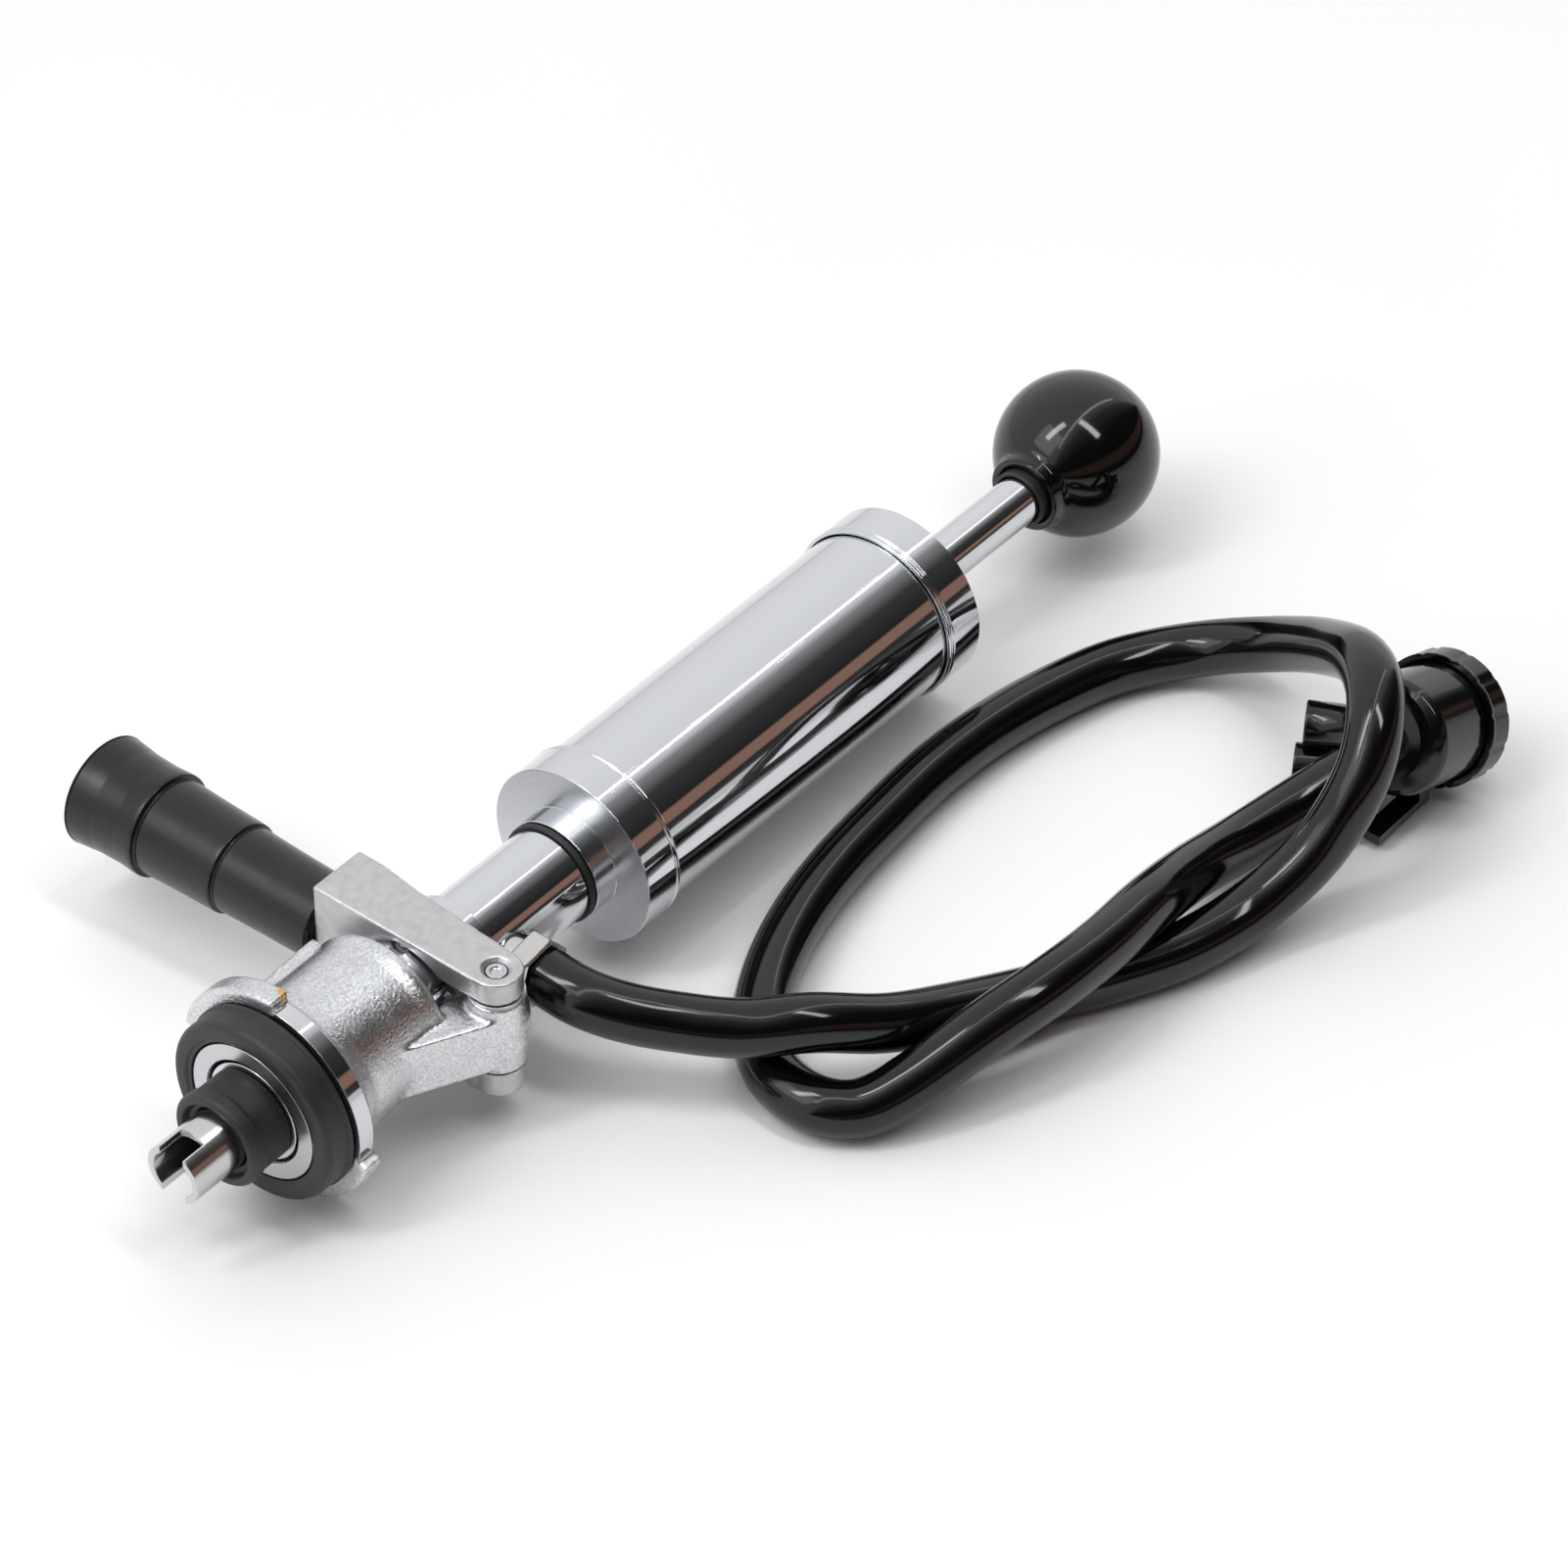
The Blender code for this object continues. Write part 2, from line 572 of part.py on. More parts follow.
def make_tap_inside():
    low, top = TAP_RIM - 4, TAP_RIM + 5
    inner = TAP_R + GAP
    cap = [
        (top, 6.2), (top, 18.2), (top - 1, TAP_RING_R), (low, TAP_RING_R), (low, inner),
        (top - 2.8, inner), (top - 2.8, 6.2),
    ]
    turned("tap_ring", cap, PLASTIC, pump, TAP_AXIS, TAP_NEAR, 32)
    seal = ring(TAP_RIM + GAP, TAP_RIM + 1.9, 2.7, TAP_R - GAP)
    turned("tap_diaphragm", seal, RUBBER, pump, TAP_AXIS, TAP_NEAR, 24)
    head = top + TAP_PRESS + GAP
    neck = TAP_RIM + 2.4 + TAP_PRESS
    push = [
        (head + 3.2, 0), (head + 3.2, 8.4), (head + 1.7, 9), (head, 9), (head, 5.8), (neck, 5.8),
        (neck, 2.4), (8, 2.4), (8, 0),
    ]
    turned("tap_button", push, PLASTIC, button, TAP_AXIS, TAP_NEAR, 24)


make_pump_shell()
make_rod_guides()
make_air_valve()
make_column()
make_outlet()
make_piston()
make_knob()
make_probe()
make_probe_seal()
make_beer_valve()
make_coupler_body()
make_pivot()
make_yoke()
make_shank()
make_grip()
make_hose()
make_tap_body()
make_tap_inside()
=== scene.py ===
# %% [markdown]
# # A keg party pump in chrome, rubber and black plastic
# The frame below is the engineering model: every node sits where the maker put it, and it
# decides all sizes. This script dresses it. Each visible part is turned, cast or extruded
# again with finer edges, and gets the surface its real material would have.

# %% Load the fixed frame
import math

import bpy
from mathutils import Matrix, Vector


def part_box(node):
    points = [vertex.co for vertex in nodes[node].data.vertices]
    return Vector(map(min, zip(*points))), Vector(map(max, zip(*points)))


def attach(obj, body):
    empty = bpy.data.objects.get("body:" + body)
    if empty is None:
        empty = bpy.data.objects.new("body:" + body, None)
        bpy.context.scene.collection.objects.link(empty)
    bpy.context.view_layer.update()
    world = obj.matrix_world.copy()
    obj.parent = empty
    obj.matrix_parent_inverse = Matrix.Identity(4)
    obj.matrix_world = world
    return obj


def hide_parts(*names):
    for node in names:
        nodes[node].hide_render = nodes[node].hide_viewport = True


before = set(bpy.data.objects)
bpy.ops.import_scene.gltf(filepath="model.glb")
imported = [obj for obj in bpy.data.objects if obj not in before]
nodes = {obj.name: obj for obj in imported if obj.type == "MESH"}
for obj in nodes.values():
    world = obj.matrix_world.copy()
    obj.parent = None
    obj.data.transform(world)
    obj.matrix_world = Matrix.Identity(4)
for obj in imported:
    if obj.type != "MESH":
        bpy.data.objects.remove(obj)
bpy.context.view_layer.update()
MM = 0.001

# %% [markdown]
# ## One place to measure from
# The pump is a row of turned parts on one axis. It is easiest to think in millimetres from the
# front face of its bottom cap, with X along the pump, Y along the lever's grip and Z up. That
# point is read from the frame, so nothing here is placed by eye.

# %% The pump's own origin
CAP_LENGTH = 12.7
barrel_low, barrel_high = (Vector(corner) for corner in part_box("barrel"))
cap_high = Vector(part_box("bottom_cap")[1])
middle = (barrel_low + barrel_high) / 2
PUMP = Vector((cap_high.x - CAP_LENGTH * MM, middle.y, middle.z))
print("pump origin in metres:", [round(v, 4) for v in PUMP])


def spot(x, y, z):
    """A point given in the pump's millimetres, in metres in the frame."""
    return PUMP + Vector((x, y, z)) * MM


# %% [markdown]
# ## Camera
# A long lens from above the probe end flattens perspective, so that the tube's sides stay
# nearly parallel. The camera is placed by its direction and its distance from one point on the
# pump's axis plane, which is easier to change than a matrix.

# %% Camera
AZIMUTH = math.radians(-51.79)
ELEVATION = math.radians(41.565)
ROLL = math.radians(0.955)
DISTANCE = 1.6005
SENSOR_MM = 36
LENS_MM = 136.74
AIM = spot(58.3, -25.1, 0)

back = Vector((
    math.sin(AZIMUTH) * math.cos(ELEVATION),
    -math.cos(AZIMUTH) * math.cos(ELEVATION),
    math.sin(ELEVATION),
))
camera_data = bpy.data.cameras.new("camera")
camera_data.sensor_width = SENSOR_MM
camera_data.lens = LENS_MM
camera = bpy.data.objects.new("camera", camera_data)
bpy.context.scene.collection.objects.link(camera)
facing = back.to_track_quat("Z", "Y").to_matrix().to_4x4()
camera.matrix_world = (
    Matrix.Translation(AIM + back * DISTANCE) @ facing @ Matrix.Rotation(ROLL, 4, "Z")
)
bpy.context.scene.camera = camera
print("camera at:", [round(v, 3) for v in AIM + back * DISTANCE])

# %% [markdown]
# ## Hose route
# Beer line is soft vinyl with a thick wall. It leaves the outlet square on, drops to the
# table, makes one loop over itself and leans on the tap where it passes it. The route is a
# short list of places that the centre of the hose goes through, and a spline joins them.

# %% The route, in the pump's millimetres
HOSE_R = 7.95
HOSE_ROUTE = [
    (-39.5, -24.8, 0), (-38.9, -36, -1), (-34.5, -47, -3), (-27, -58.5, -5), (-17.5, -72, -6),
    (-5, -85.5, -5), (12, -96.5, -11), (33, -103.5, -18), (55, -112, -23), (75, -123, -23.5),
    (96, -133, -23), (118, -140, -19), (135.3, -146.6, -7), (149.8, -149.4, 11),
    (164, -142.9, 22.5), (178.4, -129.1, 21), (193, -108.1, 5.5), (201.1, -85.7, -11),
    (196, -64.5, -21), (178, -49.5, -23.5), (155, -42, -23.5), (132, -38, -23.5),
    (108, -37, -23.5), (85, -38.5, -23.5), (61, -41, -23.5), (38, -46, -23.5), (17, -54, -23.5),
    (0, -64.5, -23.5), (-11, -78, -23.5), (-13, -92.5, -23.5), (-7, -103.5, -23), (5, -111, -18),
    (24, -119, -9), (44, -125, -4), (66, -126, -5), (89, -124, -8), (111, -121.5, -14),
    (133, -121.5, -19), (153, -125, -18.5), (171.5, -132, -13),
]


def smooth_line(points, steps):
    """A Catmull-Rom curve through the points, with steps stretches between each two."""
    ends = [points[0]] + list(points) + [points[-1]]
    line = []
    for i in range(1, len(ends) - 2):
        a, b, c, d = (Vector(p) for p in ends[i - 1:i + 3])
        for j in range(steps):
            t = j / steps
            bend = (2 * a - 5 * b + 4 * c - d) * t**2 + (3 * b - a - 3 * c + d) * t**3
            line.append((2 * b + (c - a) * t + bend) / 2)
    return line + [Vector(points[-1])]


hose_line = [spot(*p) for p in smooth_line(HOSE_ROUTE, 6)]

# %% [markdown]
# ## Colour and nodes
# Colours are picked as sRGB hex values, which a shader needs as linear light. One small
# function adds a node: settings named like the node's own properties are set on it, and
# sockets are filled with a number, a colour or a link. A colour ramp also takes its stops.


# %% Colour and nodes
def linear(text, alpha=1.0):
    """An sRGB hex colour such as #2b2b2e, as linear RGBA."""
    found = []
    for i in (1, 3, 5):
        value = int(text[i:i + 2], 16) / 255
        found.append(value / 12.92 if value <= 0.04045 else ((value + 0.055) / 1.055) ** 2.4)
    return (*found, alpha)


def add(tree, kind, sockets=None, stops=(), **settings):
    """Adds a node. sockets maps an input's name or number to a value or to another output,
    and stops are a colour ramp's places, each with a grey or a colour."""
    made = tree.nodes.new(kind)
    for name, value in settings.items():
        setattr(made, name, value)
    for key, value in (sockets or {}).items():
        if isinstance(value, bpy.types.NodeSocket):
            tree.links.new(value, made.inputs[key])
        else:
            made.inputs[key].default_value = value
    if stops:
        band = made.color_ramp.elements
        while len(band) < len(stops):
            band.new(0.5)
        for element, (place, colour) in zip(band, stops):
            element.position = place
            element.color = colour if isinstance(colour, tuple) else (colour, colour, colour, 1)
    return made


# %% [markdown]
# ## Patterns at real sizes
# A finish is never even: colour, gloss and height each drift over the surface at their own
# size. The patterns are measured in millimetres on the piece itself, so that a grain is as
# large on the lever as on the coupler. Where a real grain is too fine to show at this
# distance, it is drawn as coarse as it needs to be, and the step that uses it says so.


# %% Patterns and surfaces
def new_material(name, colour, metallic, roughness, **more):
    """A Principled material; more names further sockets, with _ for a space."""
    made = bpy.data.materials.new(name)
    made.use_nodes = True
    shader = made.node_tree.nodes["Principled BSDF"]
    shader.inputs["Base Color"].default_value = linear(colour)
    shader.inputs["Metallic"].default_value = metallic
    shader.inputs["Roughness"].default_value = roughness
    for key, value in more.items():
        shader.inputs[key.replace("_", " ")].default_value = value
    print("finish:", name)
    return made, made.node_tree, shader


def mottle(tree, size_mm, detail=2.0, stretch=(1, 1, 1), roughness=0.5):
    """Soft lumps about size_mm across, drawn out along an axis where stretch is small."""
    place = add(tree, "ShaderNodeTexCoord").outputs["Object"]
    scaled = add(tree, "ShaderNodeMapping", {"Vector": place, "Scale": stretch})
    lumps = add(tree, "ShaderNodeTexNoise", {
        "Vector": scaled.outputs["Vector"], "Scale": 1 / (size_mm * MM), "Detail": detail,
        "Roughness": roughness,
    })
    return lumps.outputs["Fac"]


def surface(tree, shader, height, depth_mm, strength=0.5, colour=None, roughness=None):
    """Gives a shader its relief, which is depth_mm deep, and its patterns of colour and gloss."""
    relief = add(tree, "ShaderNodeBump", {
        "Height": height, "Distance": depth_mm * MM, "Strength": strength,
    })
    tree.links.new(relief.outputs["Normal"], shader.inputs["Normal"])
    if colour is not None:
        tree.links.new(colour, shader.inputs["Base Color"])
    if roughness is not None:
        tree.links.new(roughness, shader.inputs["Roughness"])


# %% [markdown]
# ## Chrome plate
# Decorative chrome over polished nickel is a mirror with a faint blue-grey cast. Handling
# leaves hairlines along the tube and a soft haze, so the roughness wanders a little and a few
# thin scratches catch the light. Real hairlines are a few hundredths of a millimetre wide, and
# here they are a third of a millimetre, which is the least that shows. The ends of the caps
# were faced on a lathe into very fine rings, which blur what they reflect.


# %% Chrome plate
def chrome_plate():
    made, tree, shader = new_material("chrome plate", "#d2d4d8", 1.0, 0.06)
    haze = mottle(tree, 14, 3)
    hairlines = mottle(tree, 0.35, 2, (1, 1, 0.02))
    scratched = add(tree, "ShaderNodeValToRGB", {"Fac": hairlines}, [
        (0.0, 0.0), (0.66, 0.0), (0.72, 1.0), (1.0, 1.0),
    ]).outputs["Color"]
    normal = add(tree, "ShaderNodeTexCoord").outputs["Normal"]
    endways = add(tree, "ShaderNodeSeparateXYZ", {0: normal}).outputs["Z"]
    either_end = add(tree, "ShaderNodeMath", {0: endways}, operation="ABSOLUTE").outputs[0]
    faced = add(tree, "ShaderNodeValToRGB", {"Fac": either_end}, [
        (0.0, 0.0), (0.9, 0.0), (0.97, 1.0), (1.0, 1.0),
    ]).outputs["Color"]
    hazy = add(tree, "ShaderNodeMapRange", {"Value": haze, "To Min": 0.03, "To Max": 0.09})
    worn = add(tree, "ShaderNodeMath", {
        0: scratched, 1: 0.06, 2: hazy.outputs["Result"],
    }, operation="MULTIPLY_ADD").outputs[0]
    rough = add(tree, "ShaderNodeMath", {
        0: faced, 1: 0.22, 2: worn,
    }, operation="MULTIPLY_ADD").outputs[0]
    pressed = add(tree, "ShaderNodeMath", {0: scratched, 1: -1.0}, operation="MULTIPLY").outputs[0]
    surface(tree, shader, pressed, 0.004, roughness=rough)
    return made


CHROME = chrome_plate()

# %% [markdown]
# ## Plated casting
# The coupler is zinc cast in a coarse mould, tumbled and chromed. The plate follows every
# grain, so the surface glitters: bumps a little under a millimetre across, on a glossy metal,
# with slower waves from the casting itself. One knock on the upper lug has bared the
# brass-coloured layer under the chrome, so the base colour changes round that point, with the
# ragged edge of plate that has flaked.

# %% Plated casting
NICK_INNER = 3.6 * MM
NICK_OUTER = 4.2 * MM
NICK_RAGGED = 4 * MM


def plated_casting(nick):
    made, tree, shader = new_material("plated zinc casting", "#c4c6c9", 1.0, 0.24)
    grain = mottle(tree, 0.85, 3, roughness=0.6)
    waves = mottle(tree, 7, 2)
    height = add(tree, "ShaderNodeMath", {
        0: waves, 1: 0.5, 2: grain,
    }, operation="MULTIPLY_ADD").outputs[0]
    rough = add(tree, "ShaderNodeMapRange", {"Value": waves, "To Min": 0.22, "To Max": 0.32})
    tone = add(tree, "ShaderNodeValToRGB", {"Fac": grain}, [
        (0.25, linear("#b4b6ba")), (0.5, linear("#d2d4d7")), (0.75, linear("#eeeff1")),
    ]).outputs["Color"]
    place = add(tree, "ShaderNodeTexCoord").outputs["Object"]
    reach = add(tree, "ShaderNodeVectorMath", {
        0: place, 1: nick,
    }, operation="DISTANCE").outputs["Value"]
    ragged = add(tree, "ShaderNodeMath", {
        0: waves, 1: NICK_RAGGED, 2: reach,
    }, operation="MULTIPLY_ADD").outputs[0]
    bare = add(tree, "ShaderNodeMapRange", {
        "Value": ragged, "From Min": NICK_INNER, "From Max": NICK_OUTER,
        "To Min": 1.0, "To Max": 0.0,
    }).outputs["Result"]
    mixed = add(tree, "ShaderNodeMix", {
        0: bare, 6: tone, 7: linear("#d8b070"),
    }, data_type="RGBA").outputs[2]
    surface(tree, shader, height, 0.2, 1.0, colour=mixed, roughness=rough.outputs["Result"])
    return made


CASTING = plated_casting(spot(-110.2, -0.3, 30.9))

# %% [markdown]
# ## Blasted alloy
# The lever is a harder alloy, blasted with fine grit and only lightly plated. It looks softer
# and a shade warmer than the body, with a quiet sparkle. Real grit leaves pits of about a
# quarter of a millimetre. Here they are 0.7 mm, so that they still show.


# %% Blasted alloy
def blasted_alloy():
    made, tree, shader = new_material("grit-blasted alloy", "#b4aeb0", 1.0, 0.42)
    pits = mottle(tree, 0.7, 3, roughness=0.6)
    blotch = mottle(tree, 3, 3)
    tone = add(tree, "ShaderNodeValToRGB", {"Fac": blotch}, [
        (0.3, linear("#bcb9bb")), (0.55, linear("#c5c3c5")), (0.8, linear("#cdcbcd")),
    ]).outputs["Color"]
    surface(tree, shader, pits, 0.14, 0.9, colour=tone)
    return made


ALLOY = blasted_alloy()

# %% [markdown]
# ## Nickel, brass and steel
# Turned fittings keep their machining: rings a few tenths of a millimetre apart along the
# axis, which draw a highlight out into a short streak. Here they are nearly 2 mm apart, so
# that they still show. Nickel is a little yellower and duller than chrome. At scale 1 a wave
# texture runs through 20 radians in a metre, and its scale is worked out from that.

# %% Turned metals
RING_PITCH = 1.885 * MM
RADIANS_PER_METRE = 20


def turned_metal(name, colour, roughness):
    made, tree, shader = new_material(name, colour, 1.0, roughness)
    place = add(tree, "ShaderNodeTexCoord").outputs["Object"]
    rings = add(tree, "ShaderNodeTexWave", {
        "Vector": place, "Scale": math.tau / (RING_PITCH * RADIANS_PER_METRE),
        "Distortion": 0.6, "Detail": 1.0,
    }, bands_direction="Z")
    rough = add(tree, "ShaderNodeMapRange", {
        "Value": mottle(tree, 4, 3), "To Min": roughness * 0.75, "To Max": roughness * 1.3,
    }).outputs["Result"]
    surface(tree, shader, rings.outputs["Fac"], 0.01, roughness=rough)
    return made


NICKEL = turned_metal("satin nickel", "#c9c8c6", 0.2)
STEEL = turned_metal("turned steel", "#c4c5c8", 0.24)
BRASS = turned_metal("brass", "#c9a25c", 0.25)

# %% [markdown]
# ## Moulded rubber
# Nitrile seals are charcoal rather than black, quite matt, and show a faint bloom and the
# soft texture of the mould.


# %% Moulded rubber
def moulded_rubber():
    made, tree, shader = new_material("nitrile rubber", "#222224", 0.0, 0.5, IOR=1.5)
    bloom = mottle(tree, 5, 4)
    tone = add(tree, "ShaderNodeValToRGB", {"Fac": bloom}, [
        (0.3, linear("#1d1d1f")), (0.7, linear("#28282a")),
    ]).outputs["Color"]
    rough = add(tree, "ShaderNodeMapRange", {
        "Value": bloom, "To Min": 0.42, "To Max": 0.58,
    }).outputs["Result"]
    surface(tree, shader, mottle(tree, 0.4, 2), 0.02, colour=tone, roughness=rough)
    return made


RUBBER = moulded_rubber()

# %% [markdown]
# ## Black plastics
# The grip is polypropylene with a satin mould texture, the knob polished phenolic, the tap
# glossy ABS and the hose plasticised vinyl. They differ in gloss and in how even the surface
# is: phenolic is glassy, extruded vinyl has long shallow waves.


# %% Black plastics
def black_plastic(name, low, high, roughness, grain_mm, depth_mm, **more):
    """A black between two hex colours, with a grain that is depth_mm deep."""
    made, tree, shader = new_material(name, low, 0.0, roughness, **more)
    patch = mottle(tree, 9, 3)
    tone = add(tree, "ShaderNodeValToRGB", {"Fac": patch}, [
        (0.3, linear(low)), (0.75, linear(high)),
    ]).outputs["Color"]
    rough = add(tree, "ShaderNodeMapRange", {
        "Value": patch, "To Min": roughness * 0.8, "To Max": roughness * 1.25,
    }).outputs["Result"]
    surface(tree, shader, mottle(tree, grain_mm, 2), depth_mm, colour=tone, roughness=rough)
    return made


GRIP = black_plastic("satin polypropylene", "#131315", "#19191b", 0.27, 0.35, 0.012, IOR=1.45)
PHENOLIC = black_plastic("polished phenolic", "#050506", "#08080a", 0.09, 8, 0.01, IOR=1.52)
ABS = black_plastic("glossy ABS", "#070708", "#0b0b0c", 0.12, 3, 0.01, IOR=1.5)
VINYL = black_plastic("plasticised vinyl", "#050506", "#09090a", 0.11, 6, 0.03, IOR=1.5)

# %% [markdown]
# ## Turning parts
# Nearly everything here was made on a lathe or in a round mould, so each piece is an outline
# turned about its axis with a Screw modifier. Real edges are never knife sharp: every corner
# of the outline is first cut off by a small arc, and weighted normals keep the flats flat.


# %% Helpers for turned pieces
def eased(outline, radius, closed, steps=3):
    """The outline with each corner replaced by an arc that starts radius before it."""
    found = []
    count = len(outline)
    for i, point in enumerate(outline):
        here = Vector(point)
        if not closed and i in (0, count - 1):
            found.append(here)
            continue
        before, after = Vector(outline[i - 1]), Vector(outline[(i + 1) % count])
        reach = min(radius, (here - before).length * 0.45, (after - here).length * 0.45)
        start = here + (before - here).normalized() * reach
        end = here + (after - here).normalized() * reach
        for j in range(steps + 1):
            t = j / steps
            found.append(start * (1 - t) ** 2 + here * 2 * t * (1 - t) + end * t**2)
    return found


def place_along(direction, at):
    """A matrix that stands an object's Z along a direction, at a point in the pump's mm."""
    turn = Vector(direction).to_track_quat("Z", "Y").to_matrix().to_4x4()
    return Matrix.Translation(spot(*at)) @ turn


ALONG_PUMP = (1, 0, 0)
OUTLET_WAY = (0, -1, 0)
GRIP_WAY = (0, 1, 0)
UPWARD = (0, 0, 1)


def turned(name, outline, edge=0.4, direction=ALONG_PUMP, at=(0, 0, 0), steps=96):
    """A piece turned from (distance along the axis, radius) points in millimetres, which run
    down its outer side. It closes into a ring unless it starts on the axis."""
    closed = outline[0][1] > 0
    points = eased(outline, edge, closed) if edge else [Vector(p) for p in outline]
    mesh = bpy.data.meshes.new(name)
    edges = [(i, i + 1) for i in range(len(points) - 1)]
    if closed:
        edges.append((len(points) - 1, 0))
    mesh.from_pydata([(p.y * MM, 0, p.x * MM) for p in points], edges, [])
    piece = bpy.data.objects.new(name, mesh)
    bpy.context.scene.collection.objects.link(piece)
    piece.matrix_world = place_along(direction, at)
    screw = piece.modifiers.new("turn", "SCREW")
    screw.steps = steps
    screw.render_steps = steps
    screw.use_merge_vertices = True
    screw.merge_threshold = 0.002 * MM
    normals = piece.modifiers.new("flats stay flat", "WEIGHTED_NORMAL")
    normals.keep_sharp = True
    return piece


def dress(piece, body, material, slot, *replaced):
    """Gives a finished piece its material, says which body it rides on and hides the nodes
    that it stands for. The slot argument is not used."""
    piece.data.materials.clear()
    piece.data.materials.append(material)
    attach(piece, body)
    if replaced:
        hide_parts(*replaced)
    print(piece.name, "rides on", body, "in", material.name)


def fixed(piece):
    """The piece as a plain mesh with its modifiers applied."""
    graph = bpy.context.evaluated_depsgraph_get()
    mesh = bpy.data.meshes.new_from_object(piece.evaluated_get(graph))
    piece.modifiers.clear()
    old = piece.data
    piece.data = mesh
    bpy.data.meshes.remove(old)
    return piece


def settled(piece):
    """Moves a plain mesh's placing into its points, so that it is measured as it lies."""
    piece.data.transform(piece.matrix_world)
    piece.matrix_world = Matrix.Identity(4)
    return piece


def combine(base, other, operation):
    """Cuts other from base or joins it, then removes other."""
    step = base.modifiers.new(other.name, "BOOLEAN")
    step.operation = operation
    step.object = other
    step.solver = "EXACT"
    fixed(base)
    bpy.data.objects.remove(other)
    return base


# %% [markdown]
# ## Barrel and caps
# The barrel is two-inch chromed tube. Spun caps hold it at both ends: each has a rolled bead
# at its open edge, seen as a thin bright line, and the lower one carries the neck.

# %% Barrel and caps
barrel = turned("barrel_tube", [
    (135.6, 25.4), (7.3, 25.4), (7.3, 24.1), (135.6, 24.1),
], 0.2, steps=160)
dress(barrel, "pump", CHROME, "chrome_plate", "barrel")
bottom_cap = turned("bottom_cap_spun", [
    (12.7, 26.3), (12.7, 26.7), (12.2, 26.9), (11.7, 26.7), (11.4, 26.3), (11.1, 26.7), (0, 26.7),
    (0, 15.3), (-7.5, 15.3), (-7.5, 12.3), (3.3, 12.3), (3.3, 3), (6, 3), (6, 25.7), (12.7, 25.7),
], 0.35, steps=160)
dress(bottom_cap, "pump", CHROME, "chrome_plate", "bottom_cap")
top_cap = turned("top_cap_spun", [
    (142.9, 9.8), (142.9, 26.7), (131.4, 26.7), (131.1, 26.1), (130.6, 26.1), (130.3, 26.8),
    (129.4, 26.8), (129.1, 26.2), (129.2, 25.7), (136.9, 25.7), (136.9, 13), (131, 13), (131, 7.6),
    (132.2, 7.6), (132.2, 9.8),
], 0.35, steps=160)
dress(top_cap, "pump", CHROME, "chrome_plate", "top_cap")
neck_ring = turned("neck_seal", [(-7.8, 12.3), (-7.8, 15), (-9.6, 15), (-9.6, 12.3)], 0.6)
dress(neck_ring, "pump", RUBBER, "black_rubber", "neck_ring")
bushing = turned("rod_bush", [
    (144.2, 7.5), (144.2, 10.6), (143.2, 10.6), (143.2, 9.5), (137.2, 9.5), (137.2, 7.5),
], 0.25)
dress(bushing, "pump", NICKEL, "satin_steel", "rod_bushing")

# %% [markdown]
# ## Rod and ball knob
# The knob is one phenolic moulding: a ball with a short collar, blending with a small fillet.
# A rubber ferrule fills the mouth of the collar round the rod.

# %% Rod and ball knob
rod = turned("chromed_rod", [(206, 0), (206, 7.2), (26, 7.2), (26, 4), (11.6, 4), (11.6, 0)], 0.4)
dress(rod, "piston", CHROME, "chrome_plate", "piston_rod")
KNOB_X = 223.2
KNOB_R = 24.1
BALL_STEPS = 48
BALL_TURN = math.radians(150)
ball_outline = []
for i in range(BALL_STEPS + 1):
    turn = BALL_TURN * i / BALL_STEPS
    ball_outline.append((KNOB_X + KNOB_R * math.cos(turn), KNOB_R * math.sin(turn) if i else 0))
ball_outline += [
    (201.2, 11.7), (200.2, 11.5), (198.5, 11.5), (198, 11), (198, 9.2), (199.2, 9), (199.2, 7.5),
    (206.3, 7.5), (206.3, 0),
]
knob = turned("phenolic_ball", ball_outline, 0, steps=128)
dress(knob, "piston", PHENOLIC, "gloss_black_plastic", "ball_knob")
ferrule = turned("rod_ferrule", [(198.8, 7.5), (198.8, 8.6), (195.4, 8.6), (195.4, 7.5)], 0.4)
dress(ferrule, "piston", RUBBER, "black_rubber", "knob_ferrule")

# %% [markdown]
# ## Column and outlet
# The beer and gas column is chromed tube. Its side outlet is a threaded nickel stub with a
# hexagon nut that pulls the hose tail down. The thread is drawn as its real profile, a V
# every millimetre, because it is big enough to see.

# %% Column and outlet
OUTLET = (-39.5, -8, 0)
THREAD_PITCH = 1.0
column = turned("column_tube_chromed", [
    (3, 12), (-9.9, 12), (-9.9, 14), (-45.7, 14), (-45.7, 5), (-25, 5), (-25, 9), (3, 9),
], 0.3, steps=128)
socket = turned("socket", [(20, 0), (20, 6.6), (0, 6.6), (0, 0)], 0, OUTLET_WAY, OUTLET, 64)
combine(column, socket, "DIFFERENCE")
dress(column, "pump", CHROME, "chrome_plate", "column_tube")
column.data.set_sharp_from_angle(angle=math.radians(40))
thread = [(15.9, 3.4), (15.9, 5.4)]
crest = 15.4
while crest > 8.5:
    thread += [(crest, 5.9), (crest - 0.5, 5.3)]
    crest -= THREAD_PITCH
thread += [(8, 6.2), (0.3, 6.2), (0.3, 3.4)]
stub = turned("threaded_stub", thread, 0.1, OUTLET_WAY, OUTLET, 64)
dress(stub, "pump", NICKEL, "satin_steel", "outlet_stub")


def hexagon(name, outline, direction, at, turn_deg):
    """A nut: six flats from a Screw of six steps, with chamfered ends, kept flat-shaded."""
    nut = turned(name, outline, 0, direction, at, 6)
    nut.modifiers["turn"].use_smooth_shade = False
    nut.matrix_world = nut.matrix_world @ Matrix.Rotation(math.radians(turn_deg), 4, "Z")
    round_over = nut.modifiers.new("round", "BEVEL")
    round_over.width = 0.35 * MM
    round_over.segments = 2
    return nut


